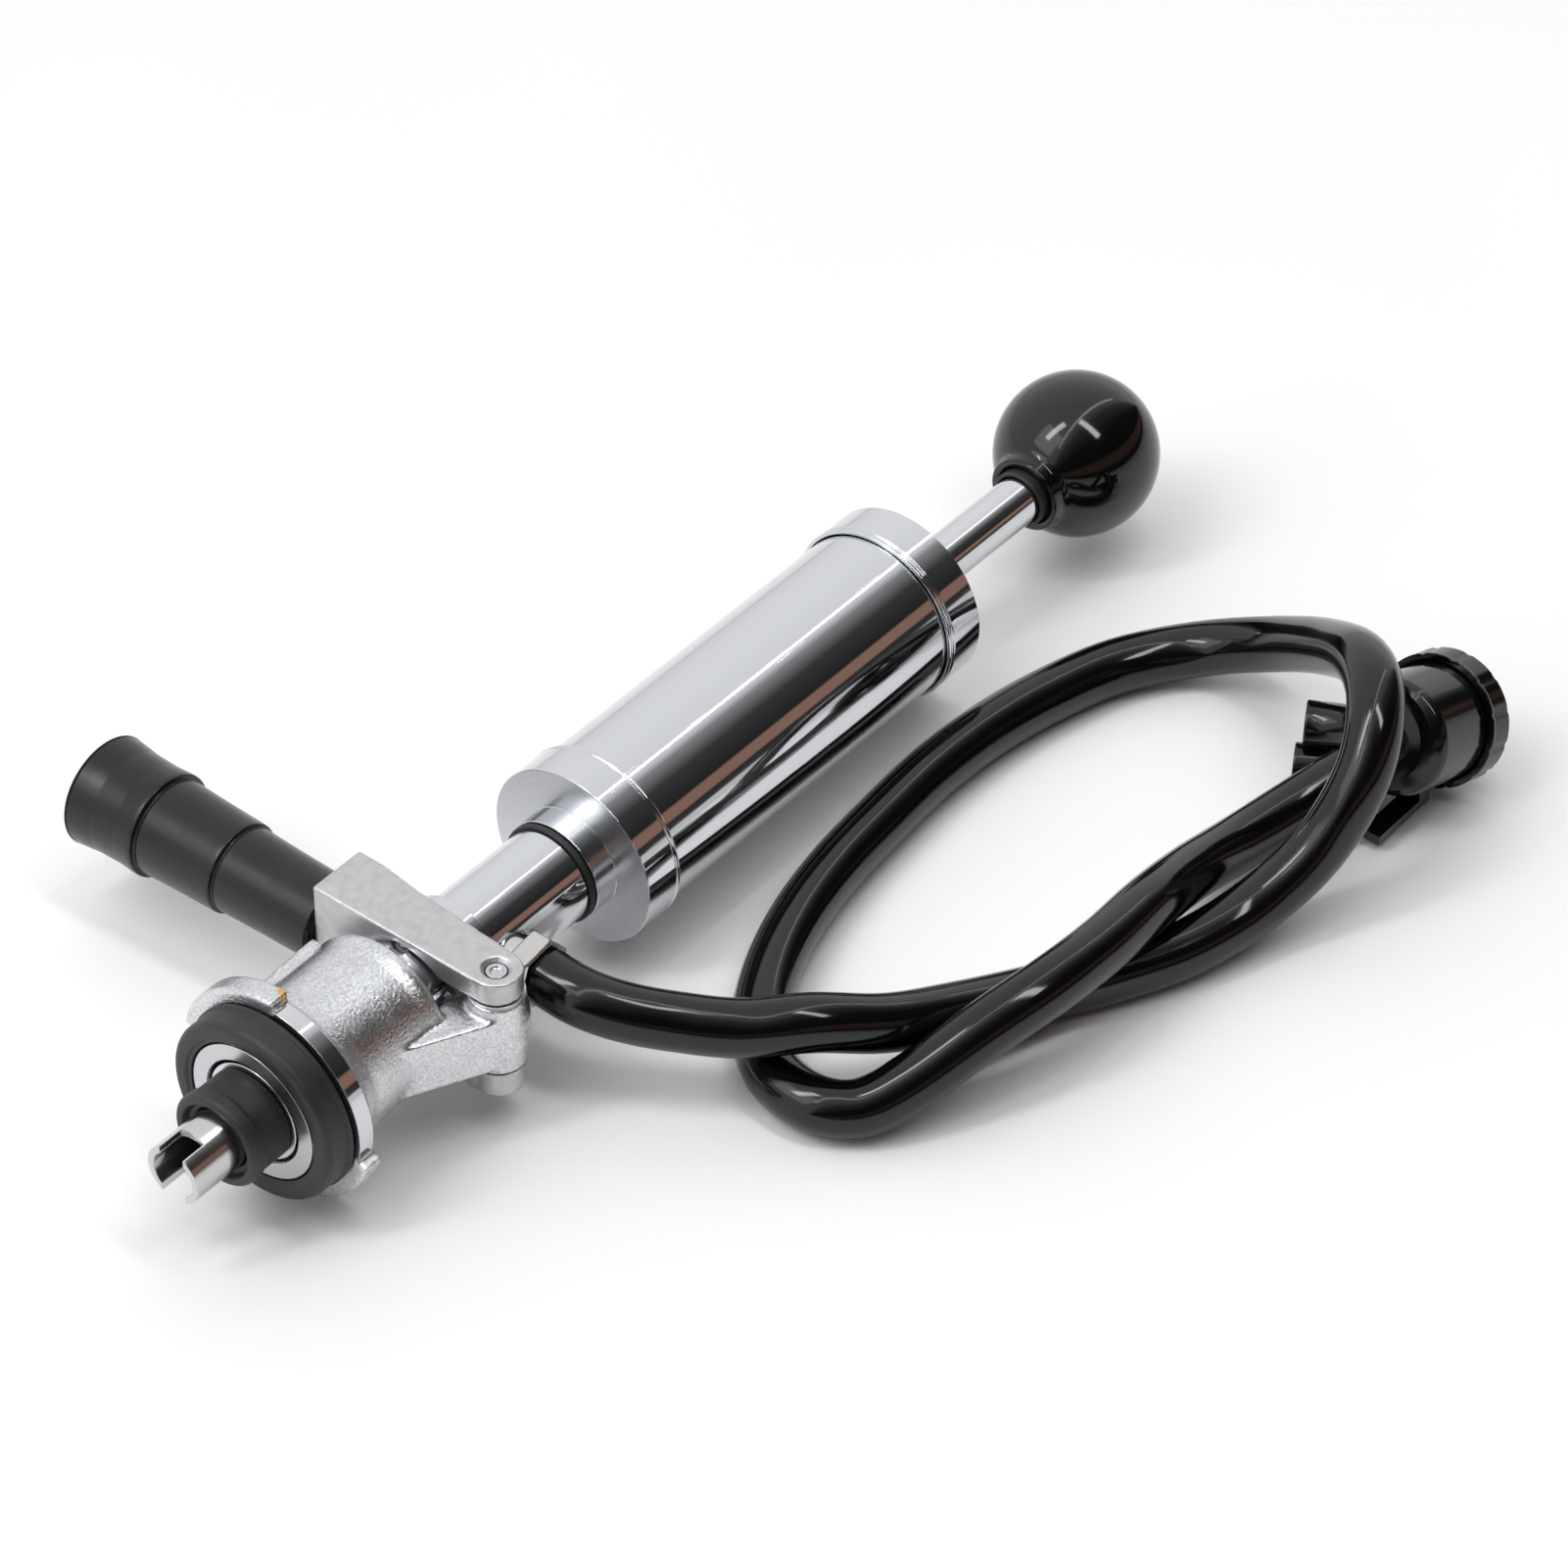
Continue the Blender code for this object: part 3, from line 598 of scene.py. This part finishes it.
nut = hexagon("hexagon_nut", [
    (0, 9.4), (0.8, 10.2), (6.2, 10.2), (7, 9.4), (7, 7.1), (0, 7.1),
], OUTLET_WAY, (-39.5, -17, 0), 10)
dress(nut, "pump", NICKEL, "satin_steel", "outlet_nut")

# %% [markdown]
# ## Probe
# The probe pushes the keg valve open. Its tube ends in two prongs between slots, and a
# rubber seal with a soft lip sits behind them on a chromed head.

# %% Probe
head = turned("probe_head_chromed", [
    (-46, 6.6), (-46, 16.2), (-73.5, 16.2), (-73.5, 15), (-83, 15), (-83, 13), (-86, 13), (-86, 15),
    (-103, 15), (-103, 13), (-106, 13), (-106, 15), (-112, 15), (-112, 13.2), (-122.6, 13.2),
    (-123, 14.5), (-124.4, 14.5), (-124.4, 8.9), (-106, 8.9), (-106, 6.6),
], 0.3, steps=128)
for sign in (1, -1):
    hole = turned("hole", [(3.1, 0), (3.1, 2.7), (-3.1, 2.7), (-3.1, 0)], 0,
                  UPWARD, (-59.4, 0, sign * 15.5), 32)
    combine(head, hole, "DIFFERENCE")
dress(head, "pump", CHROME, "chrome_plate", "probe_head")
head.data.set_sharp_from_angle(angle=math.radians(40))


def block(name, low, high):
    """A box between two corners in the pump's millimetres."""
    bpy.ops.mesh.primitive_cube_add(size=1, location=(spot(*low) + spot(*high)) / 2)
    piece = bpy.context.object
    piece.name = name
    piece.scale = (Vector(high) - Vector(low)) * MM
    bpy.ops.object.transform_apply(location=False, rotation=False, scale=True)
    return piece


tube = turned("slotted_probe_tube", [
    (-106.3, 6.6), (-106.3, 8.6), (-154, 8.6), (-154, 6.6),
], 0.3)
combine(tube, block("slot", (-158, -4, -12), (-146, 4, 12)), "DIFFERENCE")
soften = tube.modifiers.new("broken edges", "BEVEL")
soften.width = 0.25 * MM
soften.segments = 2
soften.angle_limit = math.radians(50)
fixed(tube)
dress(tube, "pump", NICKEL, "satin_steel", "probe_tube")
tube.data.set_sharp_from_angle(angle=math.radians(50))
probe_seal = turned("lip_seal", [
    (-124.8, 8.9), (-124.8, 13.2), (-133.8, 13.2), (-134.6, 13.8), (-137.9, 13.8), (-138.8, 12.9),
    (-138.8, 11.2), (-136.6, 10.3), (-136.6, 8.9),
], 0.5, steps=128)
dress(probe_seal, "pump", RUBBER, "black_rubber", "probe_seal")

# %% [markdown]
# ## Coupler casting
# The body is one casting: a nose that carries the keg seal, a bayonet flange with two lugs, a
# barrel, and a boss on a web for the lever's pin. It is built rough with Booleans, then
# remeshed in small voxels and smoothed, which rounds every inside corner the way poured metal
# does. First come the helpers for flat webs and for the lugs, which are stretches of a ring.

# %% Webs and lugs
PIN = (-60.7, -26.5)
PIN_BORE_R = 3.1
LUG_R = 31.5
WEDGE_R = 60


def slab(name, outline, low, high):
    """A flat outline in the pump's X and Y, from one height to another."""
    mesh = bpy.data.meshes.new(name)
    mesh.from_pydata([spot(x, y, low) for x, y in outline], [], [tuple(range(len(outline)))])
    piece = bpy.data.objects.new(name, mesh)
    bpy.context.scene.collection.objects.link(piece)
    thick = piece.modifiers.new("thick", "SOLIDIFY")
    thick.thickness = (high - low) * MM
    thick.offset = 1 if mesh.polygons[0].normal.z > 0 else -1
    return fixed(piece)


def arc(centre, radius, start, end, count):
    turns = [math.radians(start + (end - start) * i / count) for i in range(count + 1)]
    return [(centre[0] + radius * math.cos(a), centre[1] + radius * math.sin(a)) for a in turns]


def flange_lug(name, start, end):
    """A bayonet lug: a stretch of ring about the pump's axis, where 0 is +Y and 90 is +Z."""
    lug = turned(name, [
        (-109.9, 18), (-109.9, LUG_R), (-116.4, LUG_R), (-116.4, 18),
    ], 0, steps=128)
    fixed(lug)
    wedge = slab(name + " wedge", [(0, 0)] + arc((0, 0), WEDGE_R, start, end, 6), -20, 20)
    wedge.data.transform(Matrix.Translation(-PUMP))
    flat_to_upright = Matrix(((0, 0, 1, 0), (1, 0, 0, 0), (0, 1, 0, 0), (0, 0, 0, 1)))
    wedge.matrix_world = Matrix.Translation(spot(-113, 0, 0)) @ flat_to_upright
    return combine(lug, wedge, "INTERSECT")


def poured(piece, voxel, rounds):
    """Remeshes a rough solid and rounds it like cast metal."""
    remesh = piece.modifiers.new("voxels", "REMESH")
    remesh.mode = "VOXEL"
    remesh.voxel_size = voxel
    remesh.use_smooth_shade = True
    smooth = piece.modifiers.new("rounding", "SMOOTH")
    smooth.factor = 0.6
    smooth.iterations = rounds
    settled(fixed(piece))


# %% [markdown]
# ## The casting itself
# The outline is turned first. The lugs, the web, the boss and a rib for the latch are joined
# to it, and the pin's hole and the bore that the probe head slides in are cut last, so that
# nothing joined later can close them.

# %% Coupler casting
CASTING_VOXEL = 0.55 * MM
CASTING_ROUNDS = 6
body = turned("coupler_casting", [
    (-74, 15.4), (-74, 21.4), (-75, 22.2), (-77, 22.6), (-80, 21.9), (-92, 21.8), (-102, 22.2),
    (-107, 23.6), (-110.3, 27), (-110.3, 28.5), (-115.8, 28.5), (-115.8, 20.4), (-124.3, 20.4),
    (-124.3, 15.4),
], 0, steps=128)
fixed(body)
for name, start, end in (("upper lug", 12, 91), ("lower lug", 195, 271)):
    combine(body, flange_lug(name, start, end), "UNION")
web = [(-95, -18)] + arc(PIN, 7.8, 250, 350, 8) + [(-66, -16.4), (-74.8, -16.4), (-95, -16.4)]
combine(body, slab("pin web", web, -9, 8), "UNION")
boss = turned("boss", [
    (11.4, 0), (11.4, 7.6), (4, 8.6), (-4, 8.6), (-11.4, 7.8), (-11.4, 0),
], 0, UPWARD, (*PIN, 0), 64)
combine(body, boss, "UNION")
latch_rib = [(-104, 10), (-104, 23.4), (-74, 25.2), (-74, 14)]
combine(body, slab("latch rib", latch_rib, -6, 9), "UNION")
hole = turned("hole", [
    (14, 0), (14, PIN_BORE_R), (-14, PIN_BORE_R), (-14, 0),
], 0, UPWARD, (*PIN, 0), 48)
combine(body, hole, "DIFFERENCE")
bore = turned("bore", [(-60, 0), (-60, 15.42), (-130, 15.42), (-130, 0)], 0, steps=128)
combine(body, bore, "DIFFERENCE")
poured(body, CASTING_VOXEL, CASTING_ROUNDS)
dress(body, "coupler", CASTING, "plated_casting", "coupler_body")

# %% [markdown]
# ## Rim, nose ring and keg seal
# After casting, the flange's rim and the end of the nose were skimmed on a lathe, so they are
# bright and smooth beside the grain. The keg seal is pressed over the nose: it is a rubber ring
# with a rounded lip, which squashes on the valve neck.

# %% Rim, nose ring and keg seal
rim = turned("flange_rim", [
    (-110.9, 28), (-110.9, 28.62), (-115.9, 28.62), (-115.9, 24), (-115.5, 24), (-115.5, 28),
], 0.12, steps=128)
dress(rim, "coupler", CHROME, "chrome_plate")
nose = turned("nose_ring", [
    (-124.2, 15.6), (-124.2, 20.3), (-124.7, 20.3), (-124.7, 15.6),
], 0.2, steps=128)
dress(nose, "coupler", STEEL, "satin_steel")
keg_seal = turned("keg_seal_moulded", [
    (-116.7, 20.8), (-116.7, 27.4), (-118, 27.4), (-118.2, 26.8), (-124, 26.8), (-125.1, 26.2),
    (-125.5, 25.2), (-125.5, 22.6), (-124.9, 21.8), (-124.9, 20.8),
], 0.5, steps=128)
dress(keg_seal, "coupler", RUBBER, "black_rubber", "keg_seal")

# %% [markdown]
# ## Pivot pin and washers
# A steel pin joins the lever's two arms to the casting's boss. Its ends are drilled shallow,
# so each shows as a small bright ring. A washer sits between the boss and each arm.

# %% Pivot pin and washers
pin_end = [(17.9, 0), (17.9, 1.3), (18.1, 1.6), (18.5, 1.8), (18.5, 2.8)]
other_end = [(-along, radius) for along, radius in reversed(pin_end)]
pin = turned("pivot_pin_turned", pin_end + other_end, 0.15, UPWARD, (*PIN, 0), 48)
dress(pin, "coupler", STEEL, "satin_steel", "pivot_pin")
for side, top, bottom in (("upper", 12.3, 11.7), ("lower", -11.7, -12.3)):
    washer = turned(side + "_washer", [
        (top, PIN_BORE_R), (top, 7.5), (bottom, 7.5), (bottom, PIN_BORE_R),
    ], 0.12, UPWARD, (*PIN, 0), 64)
    dress(washer, "coupler", STEEL, "satin_steel", side + "_pivot_washer")

# %% [markdown]
# ## Lever
# The lever is a yoke: two arms reach round the column, and a round socket in the block behind
# them takes the grip's shank. The arch is cut at several angles, so that the yoke clears the
# column as it swings. Like the coupler it is remeshed, in finer voxels, since its edges are
# crisper.

# %% Lever
ARM_OUT = 19.6
ARM_IN = 12.6
SWING = 25
SHANK_X = -59.4
YOKE_VOXEL = 0.45 * MM
YOKE_ROUNDS = 4
eye = arc(PIN, 7.1, 170, 360, 24)
outline = [(-68, 30), (-68, -24)] + eye + [(-51.5, 8), (-49.7, 22), (-49.7, 30)]
yoke = slab("yoke_casting", outline, -ARM_OUT, ARM_OUT)
hub_space = block("hub space", (PIN[0] - 12, -40, -ARM_IN), (-46.7, -12, ARM_IN))
combine(yoke, hub_space, "DIFFERENCE")
for share in (0, 0.35, 0.7, 1):
    turn = math.radians(SWING * share)
    foot = (PIN[0] - math.sin(turn) * -PIN[1], PIN[1] + math.cos(turn) * -PIN[1], 0)
    arch = turned("arch", [(45, 0), (45, 16.9), (-45, 16.9), (-45, 0)], 0,
                  (math.cos(turn), math.sin(turn), 0), foot, 96)
    combine(yoke, arch, "DIFFERENCE")
slot = [(SHANK_X - 3.4, -3.4), (SHANK_X + 3.4, -3.4), (SHANK_X + 3.4, 7), (SHANK_X - 3.4, 7)]
combine(yoke, slab("drive slot", slot, -18.9, 18.9), "DIFFERENCE")
hole = turned("hole", [
    (25, 0), (25, PIN_BORE_R), (-25, PIN_BORE_R), (-25, 0),
], 0, UPWARD, (*PIN, 0), 48)
combine(yoke, hole, "DIFFERENCE")
for sign in (1, -1):
    counterbore = turned("counterbore", [(1.5, 0), (1.5, 4), (-1, 4), (-1, 0)], 0, (0, 0, sign),
                         (*PIN, sign * ARM_OUT), 48)
    combine(yoke, counterbore, "DIFFERENCE")
socket = turned("socket", [(10, 0), (10, 7.8), (-4, 7.8), (-4, 2.9), (-16, 2.9), (-16, 0)], 0,
                GRIP_WAY, (SHANK_X, 30, 0), 64)
combine(yoke, socket, "DIFFERENCE")
poured(yoke, YOKE_VOXEL, YOKE_ROUNDS)
dress(yoke, "lever", ALLOY, "cast_alloy", "lever_yoke")

# %% [markdown]
# ## Grip
# The grip is a satin sleeve in three widening steps with a shadow groove at each, and a
# thin dished end cap. The whole sleeve slides outward a few millimetres to free the latch.

# %% Grip
sleeve = turned("grip_sleeve_moulded", [
    (112.8, 7.8), (112.8, 16), (109, 15.6), (105, 15.1), (97, 14.95), (91.6, 15.3), (90.3, 15.2),
    (90.2, 14.0), (89.7, 13.7), (89.2, 14.0), (78, 13.6), (65.2, 13.3), (63.9, 13.2),
    (63.8, 12.4), (63.3, 12.1), (62.8, 12.4), (48, 12), (31.5, 11.8), (31.5, 7.8),
], 0.35, GRIP_WAY, (SHANK_X, 0, 0), 128)
dress(sleeve, "grip", GRIP, "satin_black_plastic", "grip_sleeve")
end_cap = turned("grip_end", [
    (113.3, 0), (113.3, 14.9), (113.8, 15.6), (113.2, 16.1), (112.9, 16.05), (112.9, 0),
], 0.35, GRIP_WAY, (SHANK_X, 0, 0), 128)
dress(end_cap, "grip", GRIP, "satin_black_plastic", "grip_end_cap")

# %% [markdown]
# ## Hose
# The hose is a curve with a round bevel, at its true length, so that its route can be read
# from it. It could also be a swept mesh, but a curve keeps its section round by itself.

# %% Hose
curve = bpy.data.curves.new("beer_hose", "CURVE")
curve.dimensions = "3D"
curve.bevel_depth = HOSE_R * MM
curve.bevel_resolution = 10
curve.use_fill_caps = True
spline = curve.splines.new("POLY")
spline.points.add(len(hose_line) - 1)
for point, place in zip(spline.points, hose_line):
    point.co = (*place, 1)
spline.use_smooth = True
hose = bpy.data.objects.new("beer_hose", curve)
bpy.context.scene.collection.objects.link(hose)
curve.materials.append(VINYL)
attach(hose, "pump")
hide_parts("hose")

# %% [markdown]
# ## Tap
# The tap is one ABS moulding: a domed chamber with a tail for the hose, a spout and a finger
# bar. It is joined with Booleans from turned pieces, because a moulder joins round shapes too.
# The chamber and the spout are hollowed last, through everything that was joined.

# %% Tap body
TAP_AXIS = (0.941, -0.024, -0.337)
TAP_NEAR = (179.2, -138.7, -2.1)
TAP_R = 16.8
TAP_RIM = 28.0
SPOUT_WAY = Vector((-0.5, 0.86, 0.02)).normalized()
BAR_END = (178.1, -112.5, -9.5)
SPOUT_END = (174, -112.5, -21.9)
tap = turned("tap_moulding", [
    (TAP_RIM, 0), (TAP_RIM, TAP_R), (3.6, TAP_R), (2, 16.2), (0.3, 14.2), (-0.6, 11), (-1, 7),
    (-1, 0),
], 0.5, TAP_AXIS, TAP_NEAR, 96)
fixed(tap)
bar = turned("bar", [(0, 0), (0, 6.3), (-22, 6.3), (-22, 0)], 0.7, SPOUT_WAY, BAR_END, 48)
combine(tap, bar, "UNION")
spout = turned("spout", [(0, 0), (0, 6.1), (-24, 6.1), (-24, 0)], 0.5, SPOUT_WAY, SPOUT_END, 48)
combine(tap, spout, "UNION")
last, before = Vector(HOSE_ROUTE[-1]), Vector(HOSE_ROUTE[-2])
tail = turned("tail", [(11, 0), (11, 7), (0.3, 7), (0.3, 0)], 0.3, last - before, tuple(last), 48)
combine(tap, tail, "UNION")
combine(tap, block("tab", (168, -146, -29), (192, -140, -26)), "UNION")
combine(tap, block("tab web", (187, -146, -29), (192, -140, -18)), "UNION")
hollow = turned("hollow", [(40, 0), (40, 14), (3, 14), (3, 0)], 0, TAP_AXIS, TAP_NEAR, 64)
combine(tap, hollow, "DIFFERENCE")
spout_bore = turned("spout bore", [
    (2, 0), (2, 4.4), (-17, 4.4), (-17, 0),
], 0, SPOUT_WAY, SPOUT_END, 48)
combine(tap, spout_bore, "DIFFERENCE")
dress(settled(tap), "pump", ABS, "gloss_black_plastic", "tap_body")
tap.data.shade_smooth()
tap.data.set_sharp_from_angle(angle=math.radians(32))

# %% [markdown]
# ## Ring and button
# A screwed ring closes the chamber and holds the diaphragm, and fingers turn it by shallow
# grooves round its rim. The button passes through it and presses the diaphragm. The grooves
# are pressed in by moving the ring's own points, which leaves its clean edges alone.

# %% Ring and button
tap_ring = turned("tap_ring_moulded", [
    (33, 6.2), (33, 18.4), (32.2, 19.2), (25.2, 18.9), (24.6, 19.2), (24, 19.1), (24, 17.1),
    (30.2, 17.1), (30.2, 6.2),
], 0.4, TAP_AXIS, TAP_NEAR, 96)
fixed(tap_ring)
GRIP_GROOVES = 12
GROOVE_DEPTH = 0.45
GROOVE_SHARE = 0.04
GROOVED_FROM = 18.6
for vertex in tap_ring.data.vertices:
    radius = math.hypot(vertex.co.x, vertex.co.y)
    share = math.atan2(vertex.co.y, vertex.co.x) / (2 * math.pi) * GRIP_GROOVES
    if radius > GROOVED_FROM * MM and abs(share - round(share)) < GROOVE_SHARE:
        vertex.co.xy *= 1 - GROOVE_DEPTH * MM / radius
dress(settled(tap_ring), "pump", ABS, "gloss_black_plastic", "tap_ring")
tap_button = turned("tap_button_moulded", [
    (40.5, 0), (40.4, 4), (39.8, 8.2), (39, 9), (37.3, 9), (37.3, 5.8), (34.4, 5.8), (34.4, 2.4),
    (8, 2.4), (8, 0),
], 0.4, TAP_AXIS, TAP_NEAR, 64)
dress(settled(fixed(tap_button)), "tap_push", ABS, "gloss_black_plastic", "tap_button")

# %% [markdown]
# ## Parts inside
# The nodes that no piece above replaces are right as they are: gaskets, valves, the piston
# with its leather cup, the latch pin. They only need their real material.


# %% Materials on the inner parts
def greased_leather():
    made, tree, shader = new_material("greased leather", "#4a2c1a", 0.0, 0.5, IOR=1.5)
    tone = add(tree, "ShaderNodeValToRGB", {"Fac": mottle(tree, 6, 3)}, [
        (0.3, linear("#3c2213")), (0.7, linear("#5a3722")),
    ]).outputs["Color"]
    surface(tree, shader, mottle(tree, 0.8, 4), 0.08, 0.6, colour=tone)
    return made


LEATHER = greased_leather()
INNER = {
    RUBBER: ["bottom_gasket", "top_gasket", "rod_wiper", "air_valve_disc", "front_probe_o_ring",
             "rear_probe_o_ring", "rod_bumper", "tap_diaphragm"],
    BRASS: ["air_valve_cage", "ball_retainer", "ball_stop"],
    STEEL: ["piston_plate", "piston_washer", "piston_nut", "upper_drive_pin", "lower_drive_pin",
            "grip_shank", "latch_pin", "check_ball"],
    LEATHER: ["piston_cup"],
}
for material, names in INNER.items():
    for name in names:
        for material_slot in nodes[name].material_slots:
            material_slot.material = material
    print(len(names), "inner parts in", material.name)

# %% [markdown]
# ## Floor
# The table is a pale, nearly even sheet. It lies a hair under the pump, so that no two
# surfaces share one plane and flicker.

# %% Floor
FLOOR_SIZE = 14
FLOOR_DROP = 0.3 * MM
bpy.ops.mesh.primitive_plane_add(size=FLOOR_SIZE, location=(0, 0, -FLOOR_DROP))
floor = bpy.context.object
floor.name = "floor"
floor_material, floor_tree, floor_shader = new_material("pale table", "#f8f8f8", 0.0, 0.6)
tone = add(floor_tree, "ShaderNodeValToRGB", {"Fac": mottle(floor_tree, 300, 2)}, [
    (0.3, linear("#f6f6f6")), (0.7, linear("#fafafa")),
]).outputs["Color"]
floor_tree.links.new(tone, floor_shader.inputs["Base Color"])
floor.data.materials.append(floor_material)

# %% [markdown]
# ## Room
# Chrome has no colour of its own: it shows the room. The room is a ramp round the pump's
# length, from a bright ceiling to a dark side where the camera stands, with a low warm wooden
# edge. The bands run along the pump, so each one becomes a clean stripe on the tube.

# %% Room
world = bpy.data.worlds.new("studio")
bpy.context.scene.world = world
world.use_nodes = True
room = world.node_tree
direction = add(room, "ShaderNodeTexCoord").outputs["Generated"]
parts_of = add(room, "ShaderNodeSeparateXYZ", {0: direction})
angle = add(room, "ShaderNodeMath", {
    0: parts_of.outputs["Z"], 1: parts_of.outputs["Y"],
}, operation="ARCTAN2").outputs[0]
half_turns = add(room, "ShaderNodeMath", {0: angle, 1: math.pi}, operation="DIVIDE").outputs[0]
WOOD = linear("#957365")
bands = add(room, "ShaderNodeValToRGB", {"Fac": half_turns}, [
    (0.0, 0.85), (0.12, 0.98), (0.3, 1.02), (0.5, 0.94), (0.545, 0.8), (0.59, 0.3), (0.66, 0.13),
    (0.7, 0.05), (0.85, 0.022), (0.862, WOOD), (0.925, WOOD), (0.935, 0.03), (0.975, 0.05),
    (0.985, 0.7),
]).outputs["Color"]
sky = room.nodes["Background"]
room.links.new(bands, sky.inputs["Color"])
sky.inputs["Strength"].default_value = 1.0

# %% [markdown]
# ## Lights
# A long, thin tube of light overhead gives the crisp line down the barrel and the knob. Two
# soft strips and a large soft key lift the black plastics and lay faint shadows on the table.


# %% Lights
def area_light(name, at, aim, size, power):
    """A rectangular light at a place in metres, facing a point, with its first side along X."""
    data = bpy.data.lights.new(name, "AREA")
    data.shape = "RECTANGLE"
    data.size, data.size_y = size
    data.energy = power
    lamp = bpy.data.objects.new(name, data)
    bpy.context.scene.collection.objects.link(lamp)
    away = Vector(at) - Vector(aim)
    lamp.matrix_world = Matrix.Translation(at) @ away.to_track_quat("Z", "Y").to_matrix().to_4x4()
    print("light:", name, power, "W")


area_light("ceiling tube", (0.3, -0.1, 1.0), (0.3, -0.04, 0), (2.6, 0.035), 1.2)
area_light("left strip", (-0.9, 0.45, 1.75), (0, 0, 0), (0.25, 1.1), 8)
area_light("right strip", (0.06, -0.75, 1.85), (0, 0, 0), (0.25, 1.1), 8)
area_light("soft key", (-1.6, 0.7, 1.7), (0, 0, 0), (1.4, 1.4), 8)

scene = bpy.context.scene
scene.view_settings.view_transform = "Standard"
scene.view_settings.look = "None"
